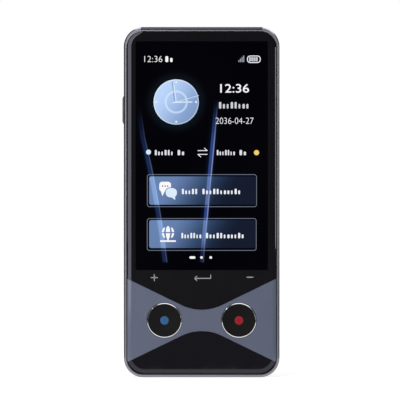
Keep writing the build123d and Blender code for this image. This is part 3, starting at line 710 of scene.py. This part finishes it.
class TRANSLATOR_OT_stage(bpy.types.Operator):
    """Make the floor, the room, the lamps and the camera."""

    bl_idname = "translator.stage"
    bl_label = "Stage"

    def execute(self, context):
        settings = context.scene.translator_stage
        context.scene.view_settings.view_transform = "Standard"
        context.scene.world = self.room(settings.room_light)
        self.floor()
        for name, near, far, low, high, setting in LAMPS:
            self.wall_lamp(name, near, far, low, high, getattr(settings, setting))
        context.scene.camera = self.camera(settings)
        return {"FINISHED"}

    def room(self, level):
        """World: white to the eye, dark at the sides in reflections."""
        world = bpy.data.worlds.new("room")
        world.use_nodes = True
        tree = world.node_tree
        rays = add(tree, "LightPath").outputs
        across, _, up = add(tree, "SeparateXYZ",
                            Vector=add(tree, "TexCoord").outputs["Generated"]).outputs
        walls = maths(tree, "ADD", between(tree, across, *LEFT_WALL),
                      between(tree, across, *RIGHT_WALL))
        above = maths(tree, "MULTIPLY_ADD", across, CEILING_TILT, up)
        mirrored = maths(tree, "ADD", walls, between(tree, above, *CEILING))
        seen = maths(tree, "MAXIMUM", rays["Is Camera Ray"], rays["Is Transmission Ray"])
        unseen = chosen(tree, rays["Is Glossy Ray"], level, mirrored)
        wire(tree, tree.nodes["Background"], Color=(1, 1, 1),
             Strength=chosen(tree, seen, unseen, 1.0))
        return world

    def floor(self):
        """Pale floor that is white to the eye and keeps the shadow; reflections see a painted
        pool of light before the handset and a painted shadow under it.
        """
        material, tree, shader = fresh("pale_floor", FLOOR_GREY, 0.9, specular=0.0,
                                       Emission_Color=(1, 1, 1))
        rays = add(tree, "LightPath").outputs
        x, y, _ = add(tree, "SeparateXYZ",
                      Vector=add(tree, "TexCoord").outputs["Object"]).outputs
        # Painted pool of light for reflections, bright before the handset and fading beside it;
        # the next line paints a shadow under the handset.
        near = maths(tree, "MULTIPLY", between(tree, y, *FLOOR_PAINTED_POOL),
                     between(tree, maths(tree, "ABSOLUTE", x), *FLOOR_BESIDE))
        near = maths(tree, "MULTIPLY", near, between(tree, y, *FLOOR_PAINTED_SHADOW))
        mirrored = maths(tree, "ADD", near, FLOOR_FAR)
        glow = maths(tree, "ADD", maths(tree, "MULTIPLY", rays["Is Camera Ray"], FLOOR_SEEN),
                     maths(tree, "MULTIPLY", rays["Is Glossy Ray"], mirrored))
        wire(tree, shader, Emission_Strength=glow,
             Base_Color=blended(tree, rays["Is Glossy Ray"], FLOOR_GREY, BLACK))
        work = bmesh.new()
        bmesh.ops.create_grid(work, x_segments=8, y_segments=8, size=4.0)
        bmesh.ops.translate(work, verts=work.verts, vec=(0, 0, -0.02 * MM))
        data = mesh_from(work, "floor")
        data.materials.append(material)
        sheet = linked("floor", data)

    def wall_lamp(self, name, near, far, low, high, brightness):
        """Soft upright lamp that stands between two points of the floor, facing the handset."""
        start, end = Vector((*near, (low + high) / 2)), Vector((*far, (low + high) / 2))
        data = bpy.data.lights.new(name, "AREA")
        data.shape = "RECTANGLE"
        data.size, data.size_y = (end - start).length, high - low
        data.energy = brightness * math.pi * data.size * data.size_y
        lamp = linked(name, data)
        lamp.location = (start + end) / 2
        aim = (end - start).cross(Vector((0, 0, 1)))
        if aim.dot(lamp.location) > 0:
            aim.negate()
        lamp.rotation_euler = aim.to_track_quat("-Z", "Y").to_euler()
        lamp.visible_camera = False

    def camera(self, settings):
        """Camera square to the screen."""
        data = bpy.data.cameras.new("camera")
        data.sensor_width = SENSOR_WIDTH
        data.sensor_fit = "HORIZONTAL"
        reach = settings.camera_distance + GLASS_FRONT * MM
        data.lens = SENSOR_WIDTH * reach / settings.view_height
        data.clip_start, data.clip_end = 0.05, 50.0
        camera = linked("camera", data)
        camera.location = (CAMERA_X, -settings.camera_distance, CAMERA_Z)
        camera.rotation_euler = (math.radians(90), 0, 0)
        return camera


# ----- housing -----

class TRANSLATOR_OT_housing(bpy.types.Operator):
    """Finish the frame, the front cover pieces, the side key and the back cover."""

    bl_idname = "translator.housing"
    bl_label = "Housing"

    def execute(self, context):
        look = context.scene.translator_look
        dress(satin_frame(look), "mid_frame")
        dress(grained("side_key_satin", tone(92, 92, 100), size=0.12, spread=0.1,
                      roughness=0.45, relief=0.002, metallic=0.3), "power_key_cap")
        dress(plate_lacquer(look), "keypad_plate")
        dress(black_gloss("cover_glass", tone(8, 7, 9), tone(16, 16, 18), 0.65),
              "front_glass")
        dress(black_gloss("chin_gloss", tone(8, 7, 9), tone(17, 16, 21), 0.65, 0.07),
              "chin_trim")
        dress(grained("top_strip", tone(79, 78, 85), size=0.2, roughness=0.5, relief=0.01),
              "top_insert")
        dress(soft_cover(look), "back_cover")
        return {"FINISHED"}


# Side, lens finish and screen colour, number and its screen colour.
KEYS = (("left", "blue_lens", (50, 96, 138), "2", (22, 92, 152)),
        ("right", "red_lens", (146, 34, 44), "1", (182, 10, 28)))
NUMBER_HALF = (0.45, 0.7)       # half width and half height of a key's number


class TRANSLATOR_OT_round_keys(bpy.types.Operator):
    """Finish the two round keys and their bright rings, and number their lenses."""

    bl_idname = "translator.round_keys"
    bl_label = "Round keys"

    def execute(self, context):
        glow = context.scene.translator_look.lens_glow
        dress(bright_ring(), "left_key_ring", "right_key_ring")
        dress(grained("key_satin", tone(16, 15, 17), size=0.1, spread=0.15, roughness=0.42,
                      relief=0.004, specular=0.16), "left_key_cap", "right_key_cap")
        across, up = NUMBER_HALF
        for side, finish, colour, number, ink_colour in KEYS:
            dress(lamp_lens(finish, tone(*colour), glow), side + "_key_lens")
            low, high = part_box(side + "_key_lens")
            x, z = (low.x + high.x) / 2 / MM, (low.z + high.z) / 2 / MM
            ink = grained(side + "_number_ink", tone(*ink_colour), specular=0.05)
            figures(side + "_key_number", number, (x - across, x + across, z - up, z + up), ink,
                    depth=low.y / MM, body=side + "_key")
        return {"FINISHED"}


# ----- screen -----

STATUS_FOOT = 125.95
LANGUAGE_ROW = (88.75, 90.85)   # low and high
TALK_ROW = (73.2, 75.35)
OFFLINE_ROW = (55.6, 57.75)
PAGE_HEIGHT = 47.92


class TRANSLATOR_OT_screen(bpy.types.Operator):
    """Light the panel and draw the status row."""

    bl_idname = "translator.screen"
    bl_label = "Screen"

    def execute(self, context):
        size = context.scene.translator_screen
        side, foot, head = size.side / MM, size.foot / MM, size.head / MM
        FlatShape(0).fill(rounded_box(-side, side, foot, head, 0.4)).made(
            "screen_panel", glowing("screen_background", panel_picture,
                                    size.clock_radius / MM))
        white = screen_white()
        figures("status_time", "12:36", (-22.87, -15.7, STATUS_FOOT, 128.4), white, -0.014)
        marks = FlatShape(1).word(-14.5, -10.7, STATUS_FOOT, 128.3, 2)
        signal = FlatShape(1)
        for step in range(4):
            x = 14.65 + 0.64 * step
            signal.fill(rounded_box(x, x + 0.42, STATUS_FOOT, 126.75 + 0.6 * step, 0.12, 2))
        signal.made("signal_mark", lit("signal_grey", 150, 156, 166))
        marks.band(rounded_box(18.1, 23.55, 125.6, 128.55, 1.3),
                   rounded_box(18.42, 23.23, 125.92, 128.23, 0.98))
        marks.made("status_marks", white)
        charge = FlatShape(1)
        for step in range(4):
            x = 18.9 + 0.9 * step
            charge.fill(rounded_box(x, x + 0.8, 126.22, 127.93, 0.2, 2))
        charge.made("charge_mark", lit("charge_blue", 186, 198, 210))
        return {"FINISHED"}


class TRANSLATOR_OT_clock(bpy.types.Operator):
    """Draw the round clock."""

    bl_idname = "translator.clock"
    bl_label = "Clock"

    def execute(self, context):
        radius = context.scene.translator_screen.clock_radius / MM
        x, z = CLOCK_PLACE
        FlatShape(1).fill(round_points(x, z, radius - 0.2, 64)).made(
            "clock_face", glowing("clock_glow", clock_picture, radius, (189, 217, 255),
                                  (131, 157, 204)))
        FlatShape(2).band(round_points(x, z, radius, 64),
                          round_points(x, z, radius - 0.38, 64)).made(
            "clock_rim", glowing("clock_rim", clock_picture, radius, (228, 240, 250),
                                 (184, 202, 226)))
        hands = FlatShape(2)
        for mark_x, mark_z in round_points(x, z, 7.9, 4):
            hands.fill(round_points(mark_x, mark_z, 0.42, 16))
        hands.line([(x - 1.0, z - 0.15), (x + 6.3, z)], 0.42)
        hands.line([(x, z), (x - 0.92, z + 6.7)], 0.3)
        hands.line([(x - 1.7, z - 0.5), (x + 8.9, z + 2.55)], 0.2)
        hands.made("clock_hands", lit("clock_white", 224, 242, 254))
        FlatShape(2).band(round_points(x, z, 4.65), round_points(x, z, 3.8)).made(
            "clock_dial", glowing("clock_dial", clock_picture, radius, (208, 230, 255),
                                  (182, 207, 242)))
        FlatShape(2).line([(x - 0.62, z + 0.4), (x - 1.62, z + 8.0)], 0.22).made(
            "clock_shade", lit("clock_shade", 96, 118, 160))
        return {"FINISHED"}


class TRANSLATOR_OT_readout(bpy.types.Operator):
    """Draw the large time, the day row and the date."""

    bl_idname = "translator.readout"
    bl_label = "Readout"

    def execute(self, context):
        figures("large_time", "12:36", (7.4, 18.94, 113.72, 117.19), screen_white(), 0.006)
        figures("date_numbers", "2036-04-27", (5.56, 20.69, 101.26, 103.78),
                lit("screen_grey", 236, 238, 243), -0.012)
        FlatShape(1).word(6.9, 19.4, 107.4, 110.0, 8).made(
            "day_row", lit("day_grey", 208, 210, 216))
        return {"FINISHED"}


class TRANSLATOR_OT_language_row(bpy.types.Operator):
    """Draw the language row: two dots, rows of blocks for words and the exchange arrows."""

    bl_idname = "translator.language_row"
    bl_label = "Language row"

    def execute(self, context):
        FlatShape(1).fill(round_points(-21.23, 90.0, 1.0, 24)).made(
            "source_dot", lit("source_dot", 214, 236, 250))
        FlatShape(1).fill(round_points(21.89, 89.8, 1.04, 24)).made(
            "target_dot", lit("target_dot", 246, 206, 110))
        bars = FlatShape(1)
        for left, right, count in ((-18.7, -10.9, 6), (-9.6, -6.2, 2), (6.05, 13.7, 7),
                                   (15.1, 18.5, 2)):
            bars.word(left, right, *LANGUAGE_ROW, count)
        bars.made("language_words", lit("screen_mist", 226, 228, 234))
        arrows = FlatShape(1)
        arrows.line([(-1.5, 90.6), (2.2, 90.6), (1.1, 91.6)], 0.28)
        arrows.line([(2.2, 89.1), (-1.5, 89.1), (-0.4, 88.1)], 0.28)
        arrows.made("exchange_arrows", screen_white())
        return {"FINISHED"}


class TRANSLATOR_OT_tiles(bpy.types.Operator):
    """Draw the two large buttons with their signs."""

    bl_idname = "translator.tiles"
    bl_label = "Buttons on the screen"

    def execute(self, context):
        half_line = 0.13
        outline = FlatShape(1)
        for name, low, high, around in (
                ("talk_tile", 69.0, 80.29, (-21.71, 21.89, 68.2, 81.03)),
                ("offline_tile", 51.71, 62.86, (-21.74, 21.76, 50.75, 63.49))):
            FlatShape(1).fill(rounded_box(-20.96, 21.5, low, high, 0.85)).made(
                name, glowing(name + "_glow", tile_picture, low))
            left, right, foot, head = around
            outline.band(*(rounded_box(left - out, right + out, foot - out, head + out,
                                       0.9 + out) for out in (half_line, -half_line)))
        outline.made("tile_outlines", glowing("tile_line", line_picture))
        self.bubbles()
        self.globe()
        bars = FlatShape(2)
        for left, right, row, count in ((-7.9, -1.2, TALK_ROW, 5), (0.3, 16.0, TALK_ROW, 11),
                                        (-8.1, 0.3, OFFLINE_ROW, 7),
                                        (1.7, 17.4, OFFLINE_ROW, 11)):
            bars.word(left, right, *row, count)
        bars.made("tile_words", lit("tile_white", 240, 244, 250))
        return {"FINISHED"}

    def bubbles(self):
        """Two speech bubbles."""
        first = FlatShape(2)
        first.fill(rounded_box(-16.95, -12.25, 74.3, 78.18, 1.2))
        first.fill([(-16.5, 74.9), (-14.5, 74.9), (-15.65, 72.4)])
        first.made("talk_bubble", screen_white())
        dots = FlatShape(3)
        for x in (-15.6, -14.6, -13.6):
            dots.fill(round_points(x, 76.45, 0.28, 12))
        dots.made("talk_dots", lit("talk_dots", 64, 74, 86))
        second = FlatShape(3)
        x, z = -12.12, 73.8
        oval = [(x + 2.25 * bulged(math.cos(math.radians(turn))),
                 z + 1.9 * bulged(math.sin(math.radians(turn)))) for turn in range(0, 360, 10)]
        second.fill(oval)
        second.fill([(-12.3, 72.2), (-10.6, 73.1), (-10.6, 70.9)])
        second.made("answer_bubble", lit("answer_white", 220, 237, 252))
        grown = [((a - x) * 1.12 + x, (b - z) * 1.14 + z) for a, b in oval]
        FlatShape(2, thickness=0.02).band(grown, oval).made(
            "bubble_gap", lit("bubble_gap", 86, 110, 156))

    def globe(self):
        """Globe on a stand."""
        x, z, radius = -13.45, 57.85, 2.75
        half_gap, steps, cut_steps = 0.24, 8, 7
        middle_lobe, outer_edge, inner_edge = 0.86, 2.45, 1.55
        rise = radius - 0.42
        sign = FlatShape(2)

        def side_of(share, arc):
            """Points of an arc drawn in or out across the globe."""
            return [(x + share * width, height) for width, height in arc]

        for half in (1, -1):
            heights = [half * (half_gap + rise * step / steps) for step in range(steps + 1)]
            arc = [(math.sqrt(max(0.0, 1 - (h / radius) ** 2)), z + h) for h in heights]
            sign.fill(side_of(-middle_lobe, arc) + side_of(middle_lobe, arc[::-1]))
            for side in (-1, 1):
                sign.fill(side_of(side * outer_edge, arc[:cut_steps])
                          + side_of(side * inner_edge, arc[:cut_steps])[::-1])
        sign.fill([(x - 0.33, 54.8), (x + 0.33, 54.8), (x + 0.33, 55.7), (x - 0.33, 55.7)])
        sign.fill(rounded_box(-16.6, -10.3, 54.15, 54.8, 0.15, 2))
        sign.made("globe_sign", screen_white())


class TRANSLATOR_OT_page_marks(bpy.types.Operator):
    """Draw the page marks and the three touch legends under the screen."""

    bl_idname = "translator.page_marks"
    bl_label = "Page marks and legends"

    def execute(self, context):
        pages = FlatShape(1)
        pages.line([(-4.4, PAGE_HEIGHT), (-3.0, PAGE_HEIGHT)], 1.0)
        for x in (-0.07, 3.6):
            pages.fill(round_points(x, PAGE_HEIGHT, 0.54, 16))
        pages.made("page_marks", screen_white())
        legends = FlatShape(0)
        for points, width in (
                (((-20.2, 39.89), (-17.64, 39.89)), 0.34),
                (((-18.92, 38.6), (-18.92, 41.17)), 0.34),
                (((18.1, 40.05), (20.6, 40.05)), 0.36),
                (((3.6, 41.0), (3.6, 39.6), (-2.9, 39.6)), 0.3),
                (((-1.9, 40.5), (-2.9, 39.6), (-1.9, 38.75)), 0.3)):
            legends.line(points, width)
        ink = grained("legend_ink", tone(176, 176, 178), size=0.1, roughness=0.6)
        legends.made("touch_legends", ink, slot="cover_glass")
        return {"FINISHED"}


# ----- port, camera and inner parts -----

CONTACTS, CONTACT_PITCH = 12, 0.5
CONTACT_SIZE = (0.26, 0.03, 3.0)
CONTACT_BEVEL = 0.006
TONGUE_HALF = 0.35              # from the tongue's middle to its contacts
CONTACT_RISE = 2.2              # from the tongue's foot to the middle of a contact

# Outline of the lens barrel: radius, and share of the room between camera and window.
BARREL = [(3.1, 0.02), (3.1, 0.55), (2.5, 0.55), (2.3, 0.2), (1.9, 0.2), (1.75, 0.4)]
DOME_RISE, DOME_TOP = 0.45, 0.85
LENS_SIDES = 48


class TRANSLATOR_OT_port(bpy.types.Operator):
    """Finish the connector and lay its gilt contacts."""

    bl_idname = "translator.port"
    bl_label = "Connector"

    def execute(self, context):
        dress(grained("nickel_shell", tone(168, 166, 160), size=0.4, roughness=0.28,
                      metallic=1.0, relief=0.004, stretch=(1.0, 1.0, 0.2)), "usb_shell")
        dress(grained("tongue_black", tone(30, 30, 32), size=0.2), "usb_tongue")
        low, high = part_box("usb_tongue")
        middle = (low.y + high.y) / 2
        gilt = grained("contact_gilt", tone(214, 176, 92), size=0.3, roughness=0.25,
                       metallic=1.0, relief=0.002)
        work = bmesh.new()
        for row in range(CONTACTS):
            x = (row - (CONTACTS - 1) / 2) * CONTACT_PITCH * MM
            for side in (-1, 1):
                strip = bmesh.ops.create_cube(work, size=1.0)["verts"]
                bmesh.ops.scale(work, verts=strip, vec=[part * MM for part in CONTACT_SIZE])
                bmesh.ops.translate(work, verts=strip, vec=(
                    x, middle + side * TONGUE_HALF * MM, low.z + CONTACT_RISE * MM))
        bmesh.ops.bevel(work, geom=work.edges[:], offset=CONTACT_BEVEL * MM, segments=1,
                        affect="EDGES")
        settled("port_contacts", mesh_from(work, "port_contacts"), gilt, "handset")
        return {"FINISHED"}


class TRANSLATOR_OT_camera_lens(bpy.types.Operator):
    """Finish the rear camera and its flash, and turn the lens behind the window."""

    bl_idname = "translator.camera_lens"
    bl_label = "Rear camera"

    def execute(self, context):
        dress(grained("module_black", tone(24, 24, 26), size=0.3, roughness=0.45,
                      specular=0.1), "camera_module")
        dress(clear_window(), "camera_window")
        dress(grained("frosted_lens", tone(226, 224, 210), size=0.2, roughness=0.35,
                      relief=0.02, Transmission_Weight=0.4), "flash_lens")
        dress(lamp_lens("flash_phosphor", tone(236, 214, 120), 0.0), "flash_lamp",
              "key_lamps")
        low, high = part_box("camera_module")
        window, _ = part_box("camera_window")
        x, z = (low.x + high.x) / 2, (low.z + high.z) / 2
        room = window.y - high.y
        self.turned("lens_barrel", BARREL, x, z, high.y, room,
                    grained("barrel_black", tone(18, 18, 20), roughness=0.4,
                            specular=0.15))
        # Painted reflection: the base colour turns from violet face-on to green at grazing
        # angles, standing for the tinted reflection of the lens coating.
        coat, tree, shader = fresh("lens_coating_sheen", tone(16, 14, 30), 0.05)
        sheen = add(tree, "LayerWeight", Blend=0.4)
        wire(tree, shader, Base_Color=blended(
            tree, sheen.outputs["Facing"], tone(20, 16, 44), tone(30, 74, 60)))
        radius, foot = BARREL[-1]
        dome = [(radius * math.cos(math.radians(turn)),
                 foot + DOME_RISE * math.sin(math.radians(turn))) for turn in range(0, 90, 15)]
        self.turned("lens_dome", dome + [(0.0, DOME_TOP)], x, z, high.y, room, coat)
        return {"FINISHED"}

    def turned(self, name, profile, x, z, base, room, material):
        """Turned piece between the camera and its window."""
        work = bmesh.new()
        turns = [index * math.tau / LENS_SIDES for index in range(LENS_SIDES)]
        rings = []
        for radius, share in profile:
            spots = [(radius * MM * math.cos(turn), radius * MM * math.sin(turn))
                     for turn in turns] if radius else [(0.0, 0.0)]
            rings.append([work.verts.new((x + across, base + share * room, z + up))
                          for across, up in spots])
        for first, second in zip(rings, rings[1:]):
            for index, here in enumerate(first):
                follow = (index + 1) % LENS_SIDES
                ahead = [second[0]] if len(second) == 1 else [second[follow], second[index]]
                work.faces.new([here, first[follow], *ahead])
        bmesh.ops.recalc_face_normals(work, faces=work.faces)
        data = mesh_from(work, name)
        data.shade_smooth()
        settled(name, data, material, "handset")


class TRANSLATOR_OT_inner_parts(bpy.types.Operator):
    """Finish the boards, the battery, the speaker and the other inner parts."""

    bl_idname = "translator.inner_parts"
    bl_label = "Inner parts"

    def execute(self, context):
        dress(circuit_board(), "main_board", "lower_board", "power_board")
        dress(grained("shield_tin", tone(176, 176, 172), size=0.5, roughness=0.3,
                      metallic=1.0, relief=0.006, stretch=(0.15, 1.0, 1.0)),
              "processor_shield", "radio_shield", "board_screws", "microphone",
              "vibration_motor", "chassis_plate")
        dress(grained("chip_resin", tone(32, 32, 34), size=0.15, roughness=0.6),
              "board_chips", "board_connectors")
        dress(flex_film(), "display_flex", "battery_tail", "link_flex")
        dress(grained("pouch_foil", tone(150, 152, 156), size=1.2, spread=0.1,
                      roughness=0.35, metallic=0.9, relief=0.05), "battery")
        dress(cell_foam(), "battery_foam", "speaker_gasket")
        dress(woven_mesh(), "speaker_mesh")
        dress(grained("moulded_black", tone(34, 34, 36), roughness=0.55),
              "key_carrier", "speaker", "antenna_carrier")
        dress(grained("switch_grey", tone(92, 92, 94), size=0.2),
              "left_key_switch", "right_key_switch", "power_switch", "left_switch_stem",
              "right_switch_stem", "power_switch_stem")
        dress(grained("tape_black", tone(22, 22, 22), size=0.4, roughness=0.8),
              "front_tape")
        dress(black_gloss("panel_film", tone(12, 12, 16), tone(12, 12, 16), 0.5),
              "display_module")
        return {"FINISHED"}


# ----- panel and registration -----

STEPS = (TRANSLATOR_OT_stage, TRANSLATOR_OT_housing, TRANSLATOR_OT_round_keys,
         TRANSLATOR_OT_screen, TRANSLATOR_OT_clock, TRANSLATOR_OT_readout,
         TRANSLATOR_OT_language_row, TRANSLATOR_OT_tiles, TRANSLATOR_OT_page_marks,
         TRANSLATOR_OT_port, TRANSLATOR_OT_camera_lens, TRANSLATOR_OT_inner_parts)
SETTINGS = {"translator_look": TranslatorLook, "translator_screen": TranslatorScreen,
            "translator_stage": TranslatorStage}


class TRANSLATOR_PT_sidebar(bpy.types.Panel):
    """Lists the settings and the steps."""

    bl_idname = "TRANSLATOR_PT_sidebar"
    bl_label = "Translator"
    bl_space_type = "VIEW_3D"
    bl_region_type = "UI"
    bl_category = "Translator"

    def draw(self, context):
        for group in SETTINGS:
            settings = getattr(context.scene, group)
            box = self.layout.box()
            for name in settings.bl_rna.properties.keys():
                if name not in ("rna_type", "name"):
                    box.prop(settings, name)
        for step in STEPS:
            self.layout.operator(step.bl_idname)


CLASSES = (*SETTINGS.values(), *STEPS, TRANSLATOR_PT_sidebar)


def register():
    for kind in CLASSES:
        bpy.utils.register_class(kind)
    for name, kind in SETTINGS.items():
        setattr(bpy.types.Scene, name, bpy.props.PointerProperty(type=kind))


def unregister():
    for name in SETTINGS:
        delattr(bpy.types.Scene, name)
    for kind in reversed(CLASSES):
        bpy.utils.unregister_class(kind)


def main():
    register()
    bpy.ops.translator.stage()
    bpy.ops.translator.housing()
    bpy.ops.translator.round_keys()
    bpy.ops.translator.screen()
    bpy.ops.translator.clock()
    bpy.ops.translator.readout()
    bpy.ops.translator.language_row()
    bpy.ops.translator.tiles()
    bpy.ops.translator.page_marks()
    bpy.ops.translator.port()
    bpy.ops.translator.camera_lens()
    bpy.ops.translator.inner_parts()


if __name__ == "__main__":
    main()
